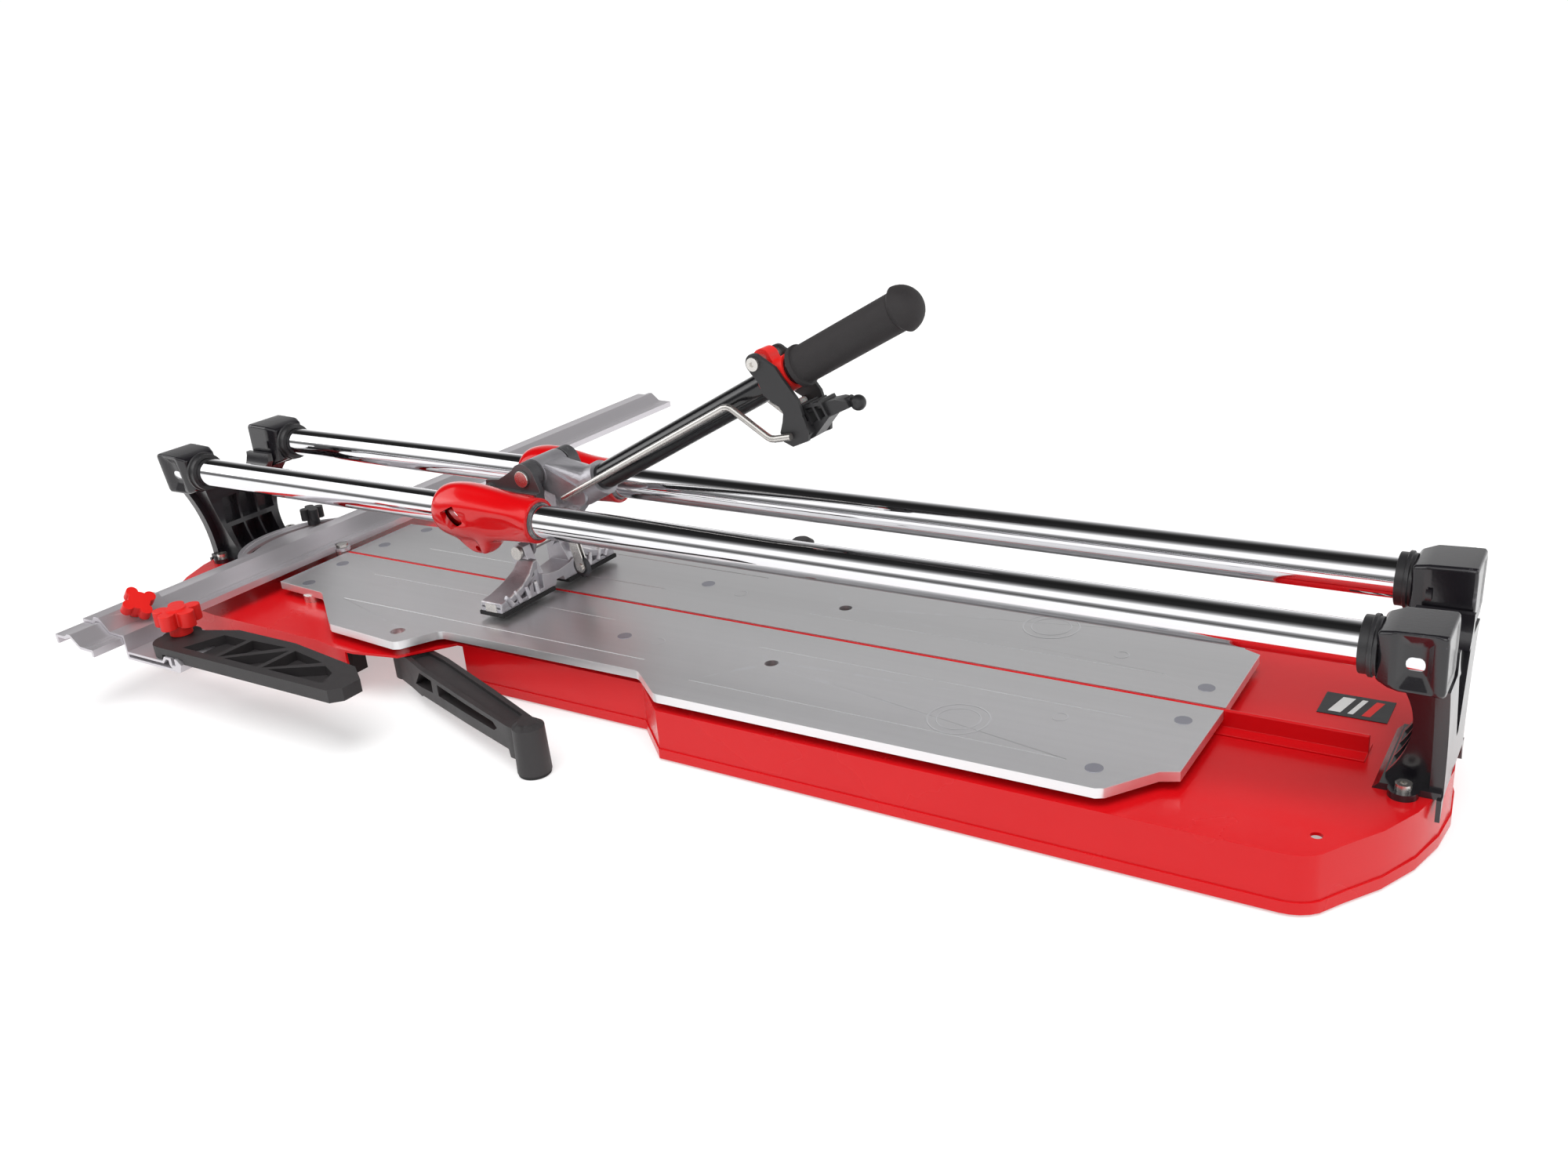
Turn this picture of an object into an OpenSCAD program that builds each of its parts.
// Manual tile cutter: a pressed steel base, two chromed rails, a carriage with a lever handle,
// two sprung tables, an angled side ruler with its fence, and two swing-out support arms.
// +X runs along the rails towards the open end, +Z is up. The origin is under the middle of the base.

/* [Base] */
// Length of the pressed base
base_length = 1292; // [1280:1:1300]
// Width of the pressed base
base_width = 302; // [296:1:308]
// Height of the base's top face above the ground
base_top = 46; // [45:0.5:47]
// Thickness of the base's sheet
base_sheet = 2.5; // [2:0.1:3]
// Thickness of the rubber pads
pad_height = 3; // [2.5:0.1:3.5]

/* [Rails] */
// Diameter of a rail
rail_d = 30; // [29:0.5:31]
// Distance from the centre plane to a rail's axis
rail_y = 60; // [59:0.5:61]
// Height of the rails' axes
rail_z = 158; // [156:0.5:160]
// Half the free length of a rail, between the collars
rail_free = 590; // [585:1:592]

/* [Tables] */
// Thickness of a table
table_t = 8; // [7:0.5:8]
// Height of the tables' top faces
table_top = 61; // [61:0.5:61.5]
// Width of the gap beside the ridge
table_gap = 0.5; // [0.3:0.1:1]
// Width of the centre ridge
ridge_w = 3.6; // [3:0.2:4]

/* [Handle] */
// Angle of the handle above level
handle_rise = 27.5; // [27:0.5:28]
// Diameter of the handle tube
tube_d = 25; // [24:0.5:25]
// Diameter of the rubber grip
grip_d = 32; // [31:0.5:33]
// Diameter of the pull rods
rod_d = 6; // [5:0.5:6.5]

/* [Scoring wheel] */
// Diameter of the scoring wheel
wheel_d = 22; // [20:1:22]

/* [Hidden] */

fit = 0.05;            // radial clearance of a running fit
fine = 96;             // facets of a large round
small = 48;            // facets of a small round
hull_fn = 28;          // facets of rounds inside a hull

rail_r = rail_d / 2;
sleeve_r = 22.5;       // slider's outer sleeve
bush_r = 18;           // outside of a plain bush
yoke_in = 604;         // a yoke's inner face
yoke_out = 646;        // a yoke's outer face
socket_r = 24;

table_x0 = -464;
table_x1 = 488;
table_edge = 150;      // a table's long outer edge
ridge_x1 = 590;

hinge_x = -155;        // the handle's hinge
hinge_z = 186;
tube_x0 = -111;        // where the handle tube's axis starts
tube_z0 = 171;
tube_r = tube_d / 2;
lever_s = 255;         // the finger lever's pin, along the tube and above its axis
lever_h = 19;
lever_pin_r = 4;
plate_y0 = 16;         // finger lever's side plates
plate_y1 = 19.5;
rod_y = 24;

foot_pin_x = -179;     // the separator foot's pin
foot_pin_z = 108;
foot_bottom = 65;
foot_half = 84;

wheel_x = -127;
wheel_z = 90;

pivot_x = -473;        // the ruler's pivot, on the centre line
ruler_x0 = -531;
ruler_x1 = -474;
ruler_y0 = -300;
ruler_y1 = 610;
ruler_bottom = 62;
saddle_y0 = -269;
saddle_y1 = -203;
slot_r = 104;          // the angle slot's radius about the pivot
bolt_angle = 156;      // the angle bolt's direction from the pivot

arm_x = -243;          // the arms' pivots
arm_y = 131;
arm_length = 240;
front_arm_rest = -19.7;
rear_arm_rest = 26;

red = [0.80, 0.04, 0.06];
black = [0.06, 0.06, 0.07];
charcoal = [0.19, 0.18, 0.19];
cast = [0.62, 0.62, 0.64];
grey = [0.42, 0.42, 0.44];
steel = [0.78, 0.78, 0.80];
alloy = [0.70, 0.70, 0.72];

// ---------- helpers ----------

function arc(cx, cy, r, a0, a1, n) = [for (i = [0:n]) let (a = a0 + (a1 - a0) * i / n) [cx + r * cos(a), cy + r * sin(a)]];
function mirror_y(points) = [for (i = [len(points) - 1:-1:0]) [points[i][0], -points[i][1]]];

module along_x(x, y, z, r, length, sides = fine) {
  translate([x, y, z]) rotate([0, 90, 0]) cylinder(r = r, h = length, $fn = sides);
}

module along_y(x, y, z, r, length, sides = small) {
  translate([x, y, z]) rotate([-90, 0, 0]) cylinder(r = r, h = length, $fn = sides);
}

module ring_x(x, y, z, r_out, r_in, length) {
  difference() {
    along_x(x, y, z, r_out, length);
    along_x(x - 1, y, z, r_in, length + 2);
  }
}

module both_sides() {
  children();
  mirror([0, 1, 0]) children();
}

module on_handle() {
  translate([tube_x0, 0, tube_z0]) rotate([0, -handle_rise, 0]) children();
}

// An outline drawn in X and Z, given a thickness along Y from y0 to y1
module slab_y(points, y0, y1) {
  translate([0, y1, 0]) rotate([90, 0, 0]) linear_extrude(height = y1 - y0) polygon(points);
}

// An outline drawn in Y and Z, given a thickness along X from x0 to x1
module slab_x(points, x0, x1) {
  translate([x0, 0, 0]) rotate([90, 0, 90]) linear_extrude(height = x1 - x0) polygon(points);
}

module star(lobes, r_tip, r_lobe, height) {
  linear_extrude(height = height)
    union() {
      circle(r = r_tip - r_lobe * 1.25, $fn = small);
      for (i = [0:lobes - 1])
        rotate(i * 360 / lobes) translate([r_tip - r_lobe, 0]) circle(r = r_lobe, $fn = small);
    }
}

function unit(v) = v / norm(v);

// A round bar bent along a path in the X-Z plane, mitred at each of the path's points
module bent_bar(path, y, r, sides) {
  last = len(path) - 1;
  points = [
    for (i = [0:last])
      let (before = unit(path[max(i, 1)] - path[max(i, 1) - 1]),
           after = unit(path[min(i, last - 1) + 1] - path[min(i, last - 1)]),
           middle = unit(before + after),
           across = [-middle[1], middle[0]] / (middle * before))
      for (k = [0:sides - 1])
        let (a = 360 * k / sides)
        [path[i][0] + r * cos(a) * across[0], y + r * sin(a), path[i][1] + r * cos(a) * across[1]]
  ];
  walls = [
    for (i = [0:last - 1], k = [0:sides - 1])
      [i * sides + k, i * sides + (k + 1) % sides, (i + 1) * sides + (k + 1) % sides, (i + 1) * sides + k]
  ];
  ends = [[for (k = [sides - 1:-1:0]) k], [for (k = [0:sides - 1]) last * sides + k]];
  polyhedron(points = points, faces = concat(walls, ends), convexity = 6);
}

// ---------- base ----------

half_len = base_length / 2;
half_w = base_width / 2;
hole_x = 582;          // fixing holes near the base's corners
hole_y = 121;
screw_x = 621;         // screws that hold the yokes
screw_y = 48;
arm_bay_y = 114;       // back wall of the bay that an arm folds into

// One side of the base's outline, from the right end's middle to the left end's middle
base_side = concat(
  [[half_len, 0], [half_len - 3, -32], [half_len - 12, -66], [half_len - 27, -98], [half_len - 45, -124]],
  arc(half_len - 78, -half_w + 30, 30, -42, -90, 4),
  [[68, -half_w], [26, -arm_bay_y], [-192, -arm_bay_y], [-226, -158], [-275, -168], [-300, -168]],
  [[-330, -162], [-491, -160]],
  arc(-half_len + 78, -half_w + 30, 30, -96, -138, 4),
  [[-half_len + 45, -124], [-half_len + 27, -98], [-half_len + 12, -66], [-half_len + 3, -32], [-half_len, 0]]
);

module base_outline() {
  polygon(concat(base_side, mirror_y([for (i = [1:len(base_side) - 2]) base_side[i]])));
}

module base_holes(z0, height) {
  for (x = [-hole_x, hole_x], y = [-hole_y, hole_y])
    translate([x, y, z0]) cylinder(r = 4, h = height, $fn = small);
  for (x = [-screw_x, screw_x], y = [-screw_y, screw_y])
    translate([x, y, z0]) cylinder(r = 3 + fit, h = height, $fn = small);
}

module base_tray() {
  rim_z = pad_height - 1;
  color(red)
    difference() {
      union() {
        translate([0, 0, rim_z]) linear_extrude(height = base_top - rim_z) base_outline();
        translate([0, 0, rim_z]) linear_extrude(height = 9) offset(delta = 1.2) base_outline();
      }
      translate([0, 0, rim_z - 1])
        linear_extrude(height = base_top - base_sheet - rim_z + 1) offset(delta = -base_sheet) base_outline();
      base_holes(base_top - base_sheet - 1, base_sheet + 2);
      both_sides() {
        translate([-286, -190, -1]) cube([100, 90, 44.5]);
        translate([arm_x, -arm_y, 40]) cylinder(r = 4 + fit, h = 10, $fn = small);
      }
      translate([pivot_x, 0, 40]) cylinder(r = 4 + fit, h = 10, $fn = small);
      rotate_about_pivot(bolt_angle) translate([slot_r, 0, 40]) cylinder(r = 3 + fit, h = 10, $fn = small);
    }
}

module rotate_about_pivot(angle) {
  translate([pivot_x, 0, 0]) rotate([0, 0, angle]) children();
}

module base_beam() {
  color(grey)
    difference() {
      translate([-600, -30, pad_height]) cube([1200, 60, base_top - base_sheet - pad_height]);
      translate([-601, -27, pad_height + 3]) cube([1202, 54, base_top]);
    }
}

module base_pads() {
  color(black)
    union() {
      translate([-80, -24, 0]) cube([160, 48, pad_height]);
      for (x = [-560, 560 - 120])
        translate([x, -24, 0]) cube([120, 48, pad_height]);
      both_sides()
        for (x = [-560, -400, 180, 400])
          translate([x, -135, 0]) cube([80, 16, base_top - base_sheet]);
    }
}

module centre_ridge() {
  color(red)
    slab_x([[-14, base_top], [14, base_top], [14, base_top + 1.5], [ridge_w / 2, base_top + 1.5],
            [ridge_w / 2, table_top - 0.8], [0.9, table_top], [-0.9, table_top],
            [-ridge_w / 2, table_top - 0.8], [-ridge_w / 2, base_top + 1.5], [-14, base_top + 1.5]],
           table_x0, ridge_x1);
}

module badge_plate() {
  color(black) translate([543, 50, base_top]) cube([50, 36, 0.6]);
}

module ruler_pivot_bolt() {
  color(steel)
    union() {
      translate([pivot_x, 0, 40]) cylinder(r = 4, h = 26.2, $fn = small);
      translate([pivot_x, 0, base_top]) cylinder(r = 7.5, h = ruler_bottom - base_top - 0.4, $fn = small);
      translate([pivot_x, 0, 65.6]) cylinder(r = 6.5, h = 3, $fn = 6);
    }
}

module angle_bolt() {
  color(steel)
    rotate_about_pivot(bolt_angle) translate([slot_r, 0, 0])
      union() {
        translate([0, 0, 40]) cylinder(r = 3, h = 36, $fn = small);
        translate([0, 0, base_top]) cylinder(r = 7, h = ruler_bottom - base_top - 0.4, $fn = small);
      }
}

module arm_bolt(y) {
  color(steel)
    translate([arm_x, y, 0])
      union() {
        translate([0, 0, 9]) cylinder(r = 4, h = base_top - 9, $fn = small);
        translate([0, 0, 7]) cylinder(r = 8, h = 3, $fn = 6);
        translate([0, 0, base_top]) cylinder(r = 6.5, h = 2.4, $fn = small);
      }
}

module front_arm_bolt() arm_bolt(-arm_y);
module rear_arm_bolt() arm_bolt(arm_y);

// ---------- rail frame ----------

module rail(y) {
  color(steel) along_x(-640, y, rail_z, rail_r, 1280);
}

module front_rail() rail(-rail_y);
module rear_rail() rail(rail_y);

// Half width of a yoke at height z: a concave flare from the foot to the sockets
function yoke_w(z) = 42 + 28 * pow((z - base_top) / 100, 2.1);

module yoke_profile(inset, z1) {
  side = [for (i = [0:10]) let (z = base_top + (z1 - base_top) * i / 10) [yoke_w(z) - inset, z]];
  polygon(concat(side, [for (i = [10:-1:0]) [-side[i][0], side[i][1]]]));
}

module yoke_slab(x0, x1, inset) {
  translate([x0, 0, 0]) rotate([90, 0, 90]) linear_extrude(height = x1 - x0) yoke_profile(inset, 150);
}

// The bay between the two sockets, a round-bottomed notch
module yoke_notch() {
  hull() {
    along_x(yoke_in - 20, 0, 152, 30, 80, hull_fn);
    translate([yoke_in - 20, -34, 190]) cube([80, 68, 20]);
  }
}

module right_yoke() {
  color(black)
    difference() {
      union() {
        yoke_slab(yoke_in + 3, yoke_out - 10, 8);
        yoke_slab(yoke_out - 10, yoke_out - 1, 0);
        both_sides() {
          along_x(yoke_in - 2, rail_y, rail_z, socket_r, yoke_out - yoke_in);
          translate([yoke_out - 2, rail_y, rail_z]) rotate([0, 90, 0])
            cylinder(r1 = socket_r, r2 = socket_r - 4, h = 3, $fn = fine);
          along_x(yoke_in + 8, rail_y, rail_z, socket_r + 1.4, 4);
        }
        translate([yoke_in - 4, -46, base_top]) cube([yoke_out - yoke_in + 2, 92, 5]);
        both_sides() translate([screw_x, -screw_y, base_top]) cylinder(r = 10, h = 5, $fn = small);
        // pointed tongues that hook over the base's end edge
        both_sides()
          slab_x([[-48.5, base_top + 1], [-47.5, base_top - 16], [-38, base_top + 1]], yoke_out - 4.2, yoke_out - 1);
      }
      yoke_notch();
      // pockets between the ribs of the inner face
      for (y = [-29, -9.5, 10])
        translate([yoke_in - 5, y, base_top + 9]) cube([30, 17, 26]);
      for (y = [-33, -10, 13])
        translate([yoke_in - 5, y, base_top + 40]) cube([30, 20, 30]);
      // the triangular window of the outer face
      slab_x([[-25, 128], [25, 128], [4, 74], [-4, 74]], yoke_out - 6, yoke_out + 5);
      // blind sockets for the rails
      both_sides() along_x(yoke_in - 10, rail_y, rail_z, rail_r + 0.02, 640 - yoke_in + 10);
      both_sides() translate([screw_x, -screw_y, base_top - 1]) cylinder(r = 3.1, h = 10, $fn = small);
    }
}

module left_yoke() mirror([1, 0, 0]) right_yoke();

module rail_collars() {
  color(charcoal)
    for (end = [0, 1])
      mirror([end, 0, 0])
        both_sides() {
          ring_x(rail_free, rail_y, rail_z, 19.5, rail_r + 0.05, 11.6);
          ring_x(rail_free + 6, rail_y, rail_z, 21, 19, 3);
        }
}

module yoke_screws() {
  color(steel)
    for (end = [0, 1])
      mirror([end, 0, 0])
        both_sides()
          translate([screw_x, -screw_y, base_top])
            difference() {
              union() {
                translate([0, 0, -8]) cylinder(r = 3, h = 14, $fn = small);
                translate([0, 0, 5]) cylinder(r = 5.5, h = 4.5, $fn = small);
              }
              translate([0, 0, 7]) cylinder(r = 2.6, h = 4, $fn = 6);
            }
}

// ---------- tables ----------

table_side = [
  [table_x1, -table_gap - ridge_w / 2], [table_x1 - 1, -102], [table_x1 - 14, -108], [table_x1 - 40, -144],
  [table_x1 - 46, -147], [70, -table_edge], [66, -149], [31, -122], [26, -120], [-198, -123],
  [-204, -127], [-221, -157], [-227, -160], [-318, -153], [-324, -150], [-390, -101], [-396, -98],
  [table_x0, -93], [table_x0, -table_gap - ridge_w / 2]
];

module table() {
  difference() {
    translate([0, 0, table_top - table_t]) linear_extrude(height = table_t) polygon(table_side);
    translate([127, -63, 40]) cylinder(r = 6, h = 30, $fn = small);
    translate([-241, -139, 40]) cylinder(r = 7, h = 30, $fn = small);
    // shallow ribs pressed along the table
    for (row = [[-380, -40, 320], [100, -40, 330], [-360, -100, 380], [80, -118, 330]])
      translate([row[0], row[1], table_top - 0.4]) cube([row[2], 0.9, 1]);
  }
}

module front_table() { color(alloy) table(); }
module rear_table() { color(alloy) mirror([0, 1, 0]) table(); }

module table_rivets() {
  for (p = [[466, -29], [432, -121], [-28, -66], [-440, -30], [-430, -84]])
    translate([p[0], p[1], table_top]) cylinder(r = 6.5, h = 0.25, $fn = small);
}

module front_table_rivets() { color(steel) table_rivets(); }
module rear_table_rivets() { color(steel) mirror([0, 1, 0]) table_rivets(); }

module table_springs() {
  for (x = [-420, -180, 60, 300, 450], y = [-30, -90])
    translate([x, y, base_top])
      difference() {
        cylinder(r = 9, h = table_top - table_t - base_top, $fn = small);
        translate([0, 0, -1]) cylinder(r = 6, h = 20, $fn = small);
      }
}

module front_table_springs() { color(steel) table_springs(); }
module rear_table_springs() { color(steel) mirror([0, 1, 0]) table_springs(); }

// ---------- carriage ----------

slider_x0 = -235;
slider_x1 = -115;

// Half of the slider's body, drawn as distance along the rail and radius, and spun about the rail's axis
slider_profile = [
  [0, 0], [0, 19.5], [4, 22.5], [12, 25], [24, 26.6], [40, 27], [56, 26.2], [75, 24.4], [100, 22.4], [120, 21.4], [120, 0]
];

// The front slider; the rear one is its mirror image
module slider() {
  difference() {
    union() {
      translate([slider_x0, -rail_y, rail_z]) rotate([0, 90, 0])
        rotate_extrude($fn = fine) polygon([for (p = slider_profile) [p[1], p[0]]]);
      // the lug underneath
      slab_y([[-208, 142], [-172, 142], [-178, 124], [-184, 118.6], [-193, 118], [-199, 123]],
             -rail_y - 12, -rail_y + 4);
      translate([-196, -rail_y, 142]) cube([58, rail_y - 38, 32]);
    }
    along_x(slider_x0 - 10, -rail_y, rail_z, bush_r, slider_x1 - slider_x0 + 20);
    // flat side against the clevis
    translate([slider_x0 - 5, -38, 100]) cube([140, 40, 100]);
    // the open window that shows the rail
    slab_y([[-217, 158], [-204, 169], [-190, 157], [-203, 143]], -rail_y - 40, -rail_y);
    along_y(-189, -rail_y - 20, 127, 4.2, 50);
  }
}

module front_slider() { color(red) slider(); }
module rear_slider() { color(red) mirror([0, 1, 0]) slider(); }

module bushes() {
  for (x = [slider_x0 + 1, -150])
    ring_x(x, -rail_y, rail_z, bush_r, rail_r + fit, 14 + (x > -200 ? 20 : 0));
}

module front_bushes() { color(charcoal) bushes(); }
module rear_bushes() { color(charcoal) mirror([0, 1, 0]) bushes(); }

module wiper_rings() {
  color(grey)
    both_sides() ring_x(slider_x1, rail_y, rail_z, 20.5, rail_r + 0.09, 3);
}

module clevis_casting() {
  color(grey)
    difference() {
      union() {
        both_sides() {
          along_y(hinge_x, -33, hinge_z, 14, 13);
          slab_y([[-167, 193], [-143, 193], [-136, 176], [-136, 142], [-194, 142], [-205, 165],
                  [-203, 180], [-186, 182]], -33, -27.5);
          translate([-200, -38, 142]) cube([64, 6, 32]);
        }
        along_y(-197, -38, 172, 6, 76);
      }
      along_y(hinge_x, -60, hinge_z, 6 + 0.02, 120);
    }
}

module clevis_pin() {
  color(steel)
    union() {
      along_y(hinge_x, -34, hinge_z, 6, 68);
      along_y(hinge_x, -36, hinge_z, 8, 3);
      along_y(hinge_x, 33, hinge_z, 8, 3);
    }
}

// ---------- handle ----------

// The outline of two discs and the straight sides between them, seen along Y
function link(x0, z0, r0, x1, z1, r1) =
  let (a = atan2(z1 - z0, x1 - x0), b = acos((r0 - r1) / norm([x1 - x0, z1 - z0])))
  concat(arc(x0, z0, r0, a + b, a + 360 - b, 16), arc(x1, z1, r1, a - b, a + b, 12));

module handle_hub() {
  neck = [tube_x0 + 6.4, tube_z0 - 2.6];   // a side link's upper right end
  color(cast)
    difference() {
      union() {
        along_y(hinge_x, -17.5, hinge_z, 14.5, 35);
        // saddle that holds the tube
        hull() {
          along_y(hinge_x + 4, -13, hinge_z - 2, 12, 26, hull_fn);
          on_handle() along_x(6, 0, 0, 15.6, 12, hull_fn);
        }
        on_handle() along_x(0, 0, 0, 16.5, 30);
        // block that takes the wheel holder
        slab_y([[-142, 138], [-127, 138], [-108, 158], [-108, 176], [-142, 178]], -7, 7);
        // side links, down to the foot and forward to the tube
        both_sides() {
          slab_y(link(hinge_x, hinge_z, 11, foot_pin_x, foot_pin_z, 8), -17, -13.5);
          slab_y(link(hinge_x, hinge_z, 12, neck[0], neck[1], 9), -17, -13.5);
        }
      }
      along_y(hinge_x, -60, hinge_z, 6 + fit, 120);
      along_y(foot_pin_x, -60, foot_pin_z, 4 + fit, 120);
      on_handle() along_x(2, 0, 0, tube_r + 0.01, 60);
      translate([-138.5, -3, 120]) cube([8, 6, 36]);
    }
}

module handle_tube() {
  color(black)
    on_handle()
      difference() {
        along_x(2, 0, 0, tube_r, 380);
        along_x(1, 0, 0, tube_r - 2, 382);
      }
}

module grip() {
  color(black)
    on_handle()
      difference() {
        union() {
          along_x(285, 0, 0, grip_d / 2, 100);
          along_x(280, 0, 0, grip_d / 2 + 2, 5);
        }
        along_x(279, 0, 0, tube_r + 0.02, 110);
      }
}

module grip_end() {
  color(black)
    on_handle()
      rotate([0, 90, 0])
        rotate_extrude($fn = fine)
          polygon(concat([[0, 385], [16, 385]], arc(0, 387, 19, 6, 90, 10)));
}

module lever_collar() {
  color(red)
    on_handle()
      difference() {
        union() {
          along_x(246, 0, 0, 15, 8);
          along_x(262, 0, 0, 15, 12);
          along_x(250, 0, 0, 14, 20);
          slab_y([[247, 0], [247, lever_h], [263, lever_h], [266, 0]], -7, 7);
          along_y(lever_s, -7, lever_h + 1, 8.5, 14);
        }
        along_x(240, 0, 0, tube_r + 0.02, 40);
        along_y(lever_s, -20, lever_h, lever_pin_r, 40);
      }
}

module cross_pin() {
  color(steel)
    on_handle()
      difference() {
        union() {
          along_y(lever_s, -20, lever_h, lever_pin_r, 40);
          along_y(lever_s, -22.5, lever_h, 5.6, 2.8);
          along_y(lever_s, 19.7, lever_h, 5.6, 2.8);
        }
        both_sides() along_y(lever_s, -24, lever_h, 2.4, 3, 6);
      }
}

module cross_sleeve() {
  color(steel)
    on_handle()
      both_sides()
        difference() {
          along_y(lever_s, -15.8, lever_h, 5.6, 8.6);
          along_y(lever_s, -17, lever_h, lever_pin_r + 0.01, 12);
        }
}

// Side plate of the finger lever, in tube coordinates
lever_plate = [
  [247.5, 21], [247.6, 14], [250, 5], [249, -7], [254, -16], [257.5, -21], [258.5, -27], [254, -33],
  [247, -40], [246, -48], [252, -55], [268, -56.5], [272, -50], [277, -24], [273, -3], [271.5, 8], [262.6, 22]
];

module finger_lever() {
  color(black)
    on_handle()
      difference() {
        union() {
          both_sides() {
            slab_y(lever_plate, -plate_y1, -plate_y0);
            along_y(lever_s, -plate_y1, lever_h, 8.2, plate_y1 - plate_y0);
          }
          // floor and ribs between the plates
          slab_y([[256, -40], [262, -34], [276, -34], [290, -34], [302, -37], [311, -43], [311, -48],
                  [290, -47], [268, -56], [256, -56]], -9, 9);
          slab_y([[262, -56], [262, -42], [272, -42], [272, -52]], -plate_y0 - 1, plate_y0 + 1);
          for (s = [272, 281, 289])
            slab_y([[s, -46], [s, -27 - (s - 272) * 0.25], [s + 2, -27.5 - (s - 272) * 0.25], [s + 2, -46]],
                   -12, 12);
          slab_y([[270, -28], [291, -33], [291, -36], [270, -31]], -12, 12);
          translate([315, 0, -47.5]) sphere(r = 6.5, $fn = small);
          along_x(300, 0, -43, 4, 12);
        }
        along_y(lever_s, -30, lever_h, lever_pin_r + fit, 60);
        slab_y([[274, -45], [274, -36], [279, -36.5], [279, -45]], -20, 20);
        slab_y([[283, -45], [283, -37], [287, -37.5], [287, -45]], -20, 20);
      }
}

// The route of a pull rod, along the tube and above its axis
rod_path = [[-6, 0], [210, 0], [214, -1.3], [217, -4], [237, -38], [239.4, -40.8], [243, -42.6], [258, -47]];

module pull_rods() {
  color(steel) on_handle() both_sides() bent_bar(rod_path, -rod_y, rod_d / 2, 16);
}

module rod_roller() {
  color([0.92, 0.92, 0.90])
    on_handle()
      along_y(259, -15, -25, 3.2, 30);
}

// ---------- separator foot ----------

module separator_foot() {
  color(cast)
    difference() {
      union() {
        // the low bridge across both tables, drawn in Y and Z
        both_sides() {
          slab_x([[0, foot_bottom + 4], [0, 82], [-16, 84], [-28, 88], [-44, 80], [-64, 76], [-foot_half, 75],
                  [-foot_half, foot_bottom + 4]], -184, -158);
          // forks that carry the pin
          slab_y([[-186, 70], [-188, 104], [-185, 114], [-179, 117], [-173, 114], [-170, 104], [-160, 84],
                  [-158, 70]], -29, -18.6);
          slab_x([[-29, 84], [-29, 96], [-52, 78], [-40, 76]], -176, -167);
        }
      }
      along_y(foot_pin_x, -60, foot_pin_z, 4 + fit, 120);
      // scallops that lighten the casting from both faces
      both_sides()
        for (y = [-72, -52])
          translate([-190, y, foot_bottom + 8]) cube([9, 13, 20]);
      both_sides()
        for (y = [-76, -57, -38])
          translate([-163, y, foot_bottom + 8]) cube([9, 14, 20]);
      // the clearance notch over the score line
      slab_x([[-9, foot_bottom - 1], [9, foot_bottom - 1], [5, foot_bottom + 9], [-5, foot_bottom + 9]],
             -200, -140);
    }
}

module foot_pads() {
  color(black)
    both_sides()
      slab_x([[-10, foot_bottom], [-10, foot_bottom + 4], [-foot_half - 1, foot_bottom + 4],
              [-foot_half - 1, foot_bottom]], -186, -156);
}

module foot_pin() {
  color(steel)
    union() {
      along_y(foot_pin_x, -31, foot_pin_z, 4, 62);
      along_y(foot_pin_x, -33, foot_pin_z, 6.5, 3);
      along_y(foot_pin_x, 30, foot_pin_z, 6.5, 3);
    }
}

// ---------- scoring wheel ----------

module wheel_holder() {
  color(steel)
    difference() {
      union() {
        slab_y([[-138, 124], [-138, 155], [-131, 155], [-131, 124]], -2.9, 2.9);
        both_sides()
          hull() {
            along_y(wheel_x, -2.9, wheel_z, 5.5, 1.3, hull_fn);
            along_y(-134.5, -2.9, 122, 4.5, 1.3, hull_fn);
          }
      }
      along_y(wheel_x, -10, wheel_z, 2, 20);
    }
}

module wheel_clamp_screw() {
  color(steel)
    along_y(-134, -11, 147, 3.5, 4);
}

module wheel_axle() {
  color(steel)
    union() {
      along_y(wheel_x, -3.6, wheel_z, 2 - 0.01, 7.2);
      along_y(wheel_x, -4.4, wheel_z, 3.4, 1.5);
      along_y(wheel_x, 2.9, wheel_z, 3.4, 1.5);
    }
}

module scoring_wheel() {
  color(black)
    difference() {
      translate([wheel_x, 0, wheel_z]) rotate([90, 0, 0])
        rotate_extrude($fn = fine)
          polygon([[0, -1.3], [7, -1.3], [8, -0.9], [wheel_d / 2, 0], [8, 0.9], [7, 1.3], [0, 1.3]]);
      along_y(wheel_x, -10, wheel_z, 2 + fit, 20);
    }
}

// ---------- side ruler ----------

module ruler_bar() {
  color(alloy)
    difference() {
      slab_y([[ruler_x0, 74], [ruler_x0, 76.5], [ruler_x0 + 15, 76.5], [ruler_x0 + 20, 79.5],
              [ruler_x0 + 25, 79.5], [ruler_x0 + 37, 69.6], [ruler_x1, 69], [ruler_x1, ruler_bottom],
              [ruler_x1 - 3, ruler_bottom], [ruler_x1 - 3, 66.4], [ruler_x0 + 36, 66.8], [ruler_x0 + 24, 76.6],
              [ruler_x0 + 16, 73.8], [ruler_x0 + 3, 74], [ruler_x0 + 3, ruler_bottom + 5.5],
              [ruler_x0, ruler_bottom + 5.5]], ruler_y0, ruler_y1);
      for (x = [ruler_x0 + 44, ruler_x0 + 50])
        translate([x, ruler_y0 - 1, 68.9]) cube([0.8, ruler_y1 - ruler_y0 + 2, 2]);
      // room for the pivot's tab and for its bolt
      translate([pivot_x - 9, -9, ruler_bottom - 1]) cube([20, 18, 4.4]);
      translate([pivot_x, 0, 60]) cylinder(r = 7.5, h = 15, $fn = small);
    }
}

plate_z0 = ruler_bottom;
plate_z1 = 65.2;

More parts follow.
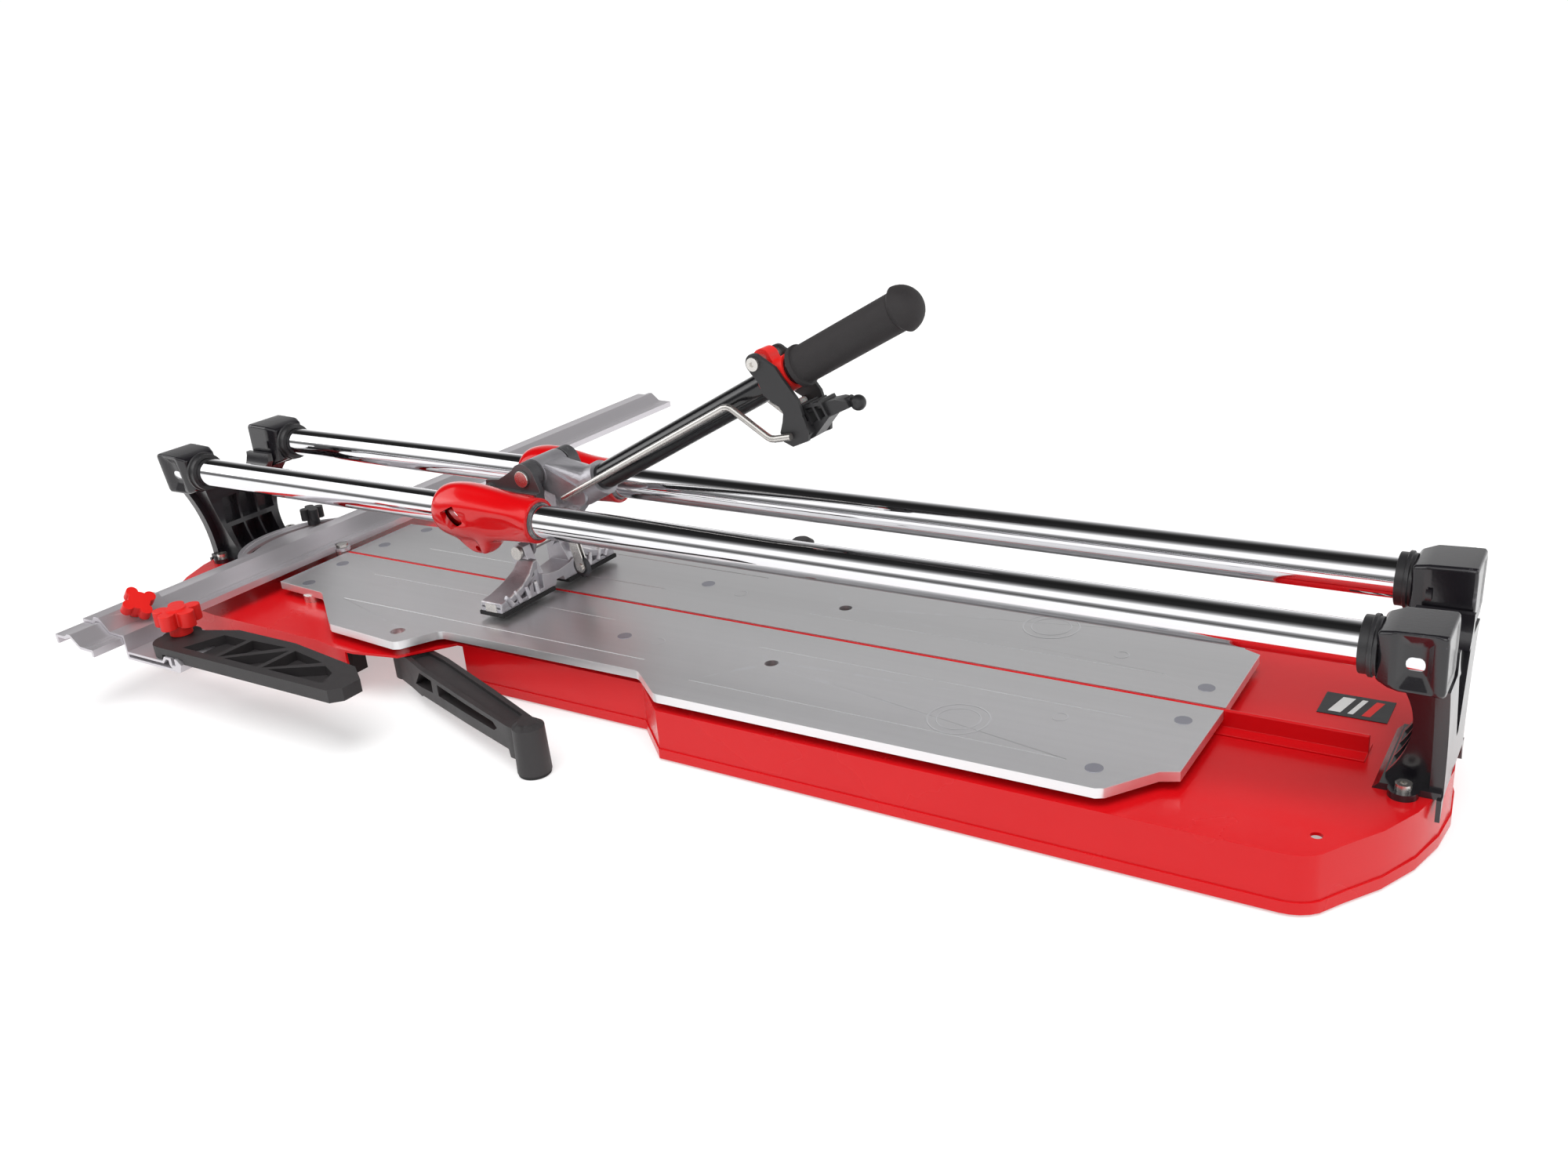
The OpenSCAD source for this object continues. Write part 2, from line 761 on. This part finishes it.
module protractor() {
  color(alloy)
    difference() {
      union() {
        translate([0, 0, plate_z0]) linear_extrude(height = plate_z1 - plate_z0)
          polygon(concat([[ruler_x1 - 4, -84], [ruler_x1 - 4, 84]], arc(-512, -2, 84, 90, 270, 24)));
        translate([pivot_x, 0, plate_z0]) cylinder(r = 8.4, h = plate_z1 - plate_z0, $fn = small);
        translate([-512, -2, plate_z1 - 0.2]) linear_extrude(height = 1)
          polygon(concat(arc(0, 0, 84, 98, 262, 24), arc(0, 0, 79, 262, 98, 24)));
      }
      translate([pivot_x, 0, 50]) cylinder(r = 4 + fit, h = 30, $fn = small);
      translate([0, 0, 50]) linear_extrude(height = 40)
        polygon(concat(arc(pivot_x, 0, slot_r + 3.4, 143, 212, 28), arc(pivot_x, 0, slot_r - 3.4, 212, 143, 28)));
    }
}

module angle_knob() {
  color(black)
    rotate_about_pivot(bolt_angle) translate([slot_r, 0, 0])
      difference() {
        union() {
          translate([0, 0, 66.4]) cylinder(r = 7, h = 8, $fn = small);
          translate([0, 0, 73]) star(4, 13, 5, 13);
        }
        translate([0, 0, 60]) cylinder(r = 3 + fit, h = 17, $fn = small);
      }
}

// The saddle that carries the fence: it wraps the bar and ends in a T-slot shelf
module ruler_saddle() {
  x0 = ruler_x0 - 2.6;
  x1 = ruler_x1 + 0.4;
  color(alloy)
    difference() {
      union() {
        slab_y([[x0, 72], [x0, 79.5], [x0 + 16, 79.5], [x0 + 20, 84.5], [x0 + 28, 84.5], [x0 + 41, 72],
                [x1 + 2.4, 71.6], [x1 + 2.4, 55], [x1 + 56, 55], [x1 + 60, 60], [x1 + 78, 60], [x1 + 84, 55],
                [x1 + 80, 47], [x1, 47], [x1, 69.4], [x0 + 40, 69.9], [x0 + 27.2, 80], [x0 + 21.6, 80],
                [x0 + 17, 76.9], [x0 + 2.2, 76.9], [x0 + 2.2, 72]], saddle_y0, saddle_y1);
      }
      slab_y([[x1 + 3, 49.4], [x1 + 3, 52.6], [x1 + 57, 52.6], [x1 + 62, 57.6], [x1 + 66, 57.6], [x1 + 66, 53],
              [x1 + 69, 49.4]], saddle_y0 - 1, saddle_y1 + 1);
      slab_y([[x1 + 70, 53], [x1 + 70, 61], [x1 + 75, 61], [x1 + 75, 53]], saddle_y0 - 1, saddle_y1 + 1);
      saddle_knob_place() translate([0, 0, -8]) cylinder(r = 3, h = 12, $fn = small);
    }
}

module saddle_knob_place() {
  translate([-499, -236, 78.3]) rotate([0, 43, 0]) children();
}

module cross_knob() {
  color(red)
    saddle_knob_place()
      union() {
        translate([0, 0, -2.5]) cylinder(r = 2.9, h = 6, $fn = small);
        translate([0, 0, 0.5]) cylinder(r = 6.5, h = 10, $fn = small);
        translate([0, 0, 9.5]) star(4, 17, 5.5, 11);
      }
}

fence_back = -208;

module stop_fence() {
  color(charcoal)
    difference() {
      union() {
        translate([0, 0, 55.4]) linear_extrude(height = 12)
          polygon(concat([[-190, -267], [-181, -258], [-181, -238], [-205, -222], [-300, fence_back]],
                         [[-380, fence_back], [-420, -224]], arc(-425, -249, 18, 110, 270, 10)));
        translate([-429, -236, 55.4]) cylinder(r = 18, h = 12, $fn = small);
      }
      translate([-429, -236, 50]) cylinder(r = 3.1, h = 30, $fn = small);
      // groove over the shelf's hook
      translate([-419, -280, 50]) cube([31, 90, 10.4]);
      // triangular pockets between the ribs
      translate([0, 0, 58.4]) linear_extrude(height = 12) {
        polygon([[-398, -258], [-352, -258], [-352, -222], [-384, -222]]);
        polygon([[-346, -258], [-346, -220], [-300, -218]]);
        polygon([[-338, -258], [-292, -222], [-292, -258]]);
        polygon([[-286, -258], [-286, -220], [-240, -228]]);
        polygon([[-278, -258], [-232, -232], [-214, -240], [-206, -258]]);
      }
    }
}

module fence_knob() {
  color(red)
    translate([-429, -236, 0])
      union() {
        translate([0, 0, 62.2]) cylinder(r = 3, h = 8, $fn = small);
        translate([0, 0, 67.8]) cylinder(r = 10.5, h = 12, $fn = small);
        translate([0, 0, 78]) star(5, 22, 7.5, 15);
        translate([0, 0, 92]) cylinder(r = 9, h = 2.5, $fn = small);
      }
}

// ---------- swing arms ----------

// The arm lies along +X from its pivot
module arm_shape() {
  difference() {
    union() {
      translate([0, 0, 13]) cylinder(r = 14, h = 29, $fn = fine);
      translate([0, 0, 13]) linear_extrude(height = 29.5)
        polygon([[-6, -12], [30, -13], [60, -15], [150, -14], [225, -12], [240, -9], [240, 9], [225, 12],
                 [150, 14], [60, 15], [30, 13], [-6, 12]]);
      translate([240, 0, 3]) cylinder(r1 = 14.5, r2 = 13.5, h = 41, $fn = fine);
      translate([240, 0, 44]) cylinder(r1 = 13.5, r2 = 8, h = 4, $fn = fine);
    }
    translate([0, 0, 0]) cylinder(r = 4 + fit, h = 60, $fn = small);
    // the underside tapers away towards the pivot and the foot stands clear
    slab_y([[30, 0], [226, 0], [222, 20], [60, 15]], -30, 30);
    // long slot and triangular window, right through
    slab_y([[96, 27], [200, 30], [206, 34], [200, 38], [96, 38]], -30, 30);
    slab_y([[44, 22], [84, 26], [84, 38], [60, 38]], -30, 30);
    translate([0, 0, 39]) linear_extrude(height = 6)
      polygon([[30, -8], [60, -10], [215, -8], [222, 0], [215, 8], [60, 10], [30, 8]]);
  }
}

module placed_arm(y, angle) {
  translate([arm_x, y, 0]) rotate([0, 0, angle]) children();
}

module front_arm() { color(charcoal) placed_arm(-arm_y, front_arm_rest) arm_shape(); }
module rear_arm() { color(charcoal) placed_arm(arm_y, rear_arm_rest) arm_shape(); }

module arm_tip() {
  translate([arm_length, 0, 0]) cylinder(r = 13.8, h = 3, $fn = fine);
}

module front_arm_tip() { color(black) placed_arm(-arm_y, front_arm_rest) arm_tip(); }
module rear_arm_tip() { color(black) placed_arm(arm_y, rear_arm_rest) arm_tip(); }

base_tray();
base_beam();
base_pads();
centre_ridge();
badge_plate();
ruler_pivot_bolt();
angle_bolt();
front_arm_bolt();
rear_arm_bolt();
front_rail();
rear_rail();
left_yoke();
right_yoke();
rail_collars();
yoke_screws();
front_table();
front_table_rivets();
front_table_springs();
rear_table();
rear_table_rivets();
rear_table_springs();
front_slider();
rear_slider();
front_bushes();
rear_bushes();
wiper_rings();
clevis_casting();
clevis_pin();
handle_hub();
handle_tube();
grip();
grip_end();
lever_collar();
cross_pin();
cross_sleeve();
wheel_holder();
wheel_clamp_screw();
wheel_axle();
scoring_wheel();
finger_lever();
pull_rods();
rod_roller();
separator_foot();
foot_pads();
foot_pin();
ruler_bar();
protractor();
ruler_saddle();
stop_fence();
cross_knob();
fence_knob();
angle_knob();
front_arm();
rear_arm();
front_arm_tip();
rear_arm_tip();
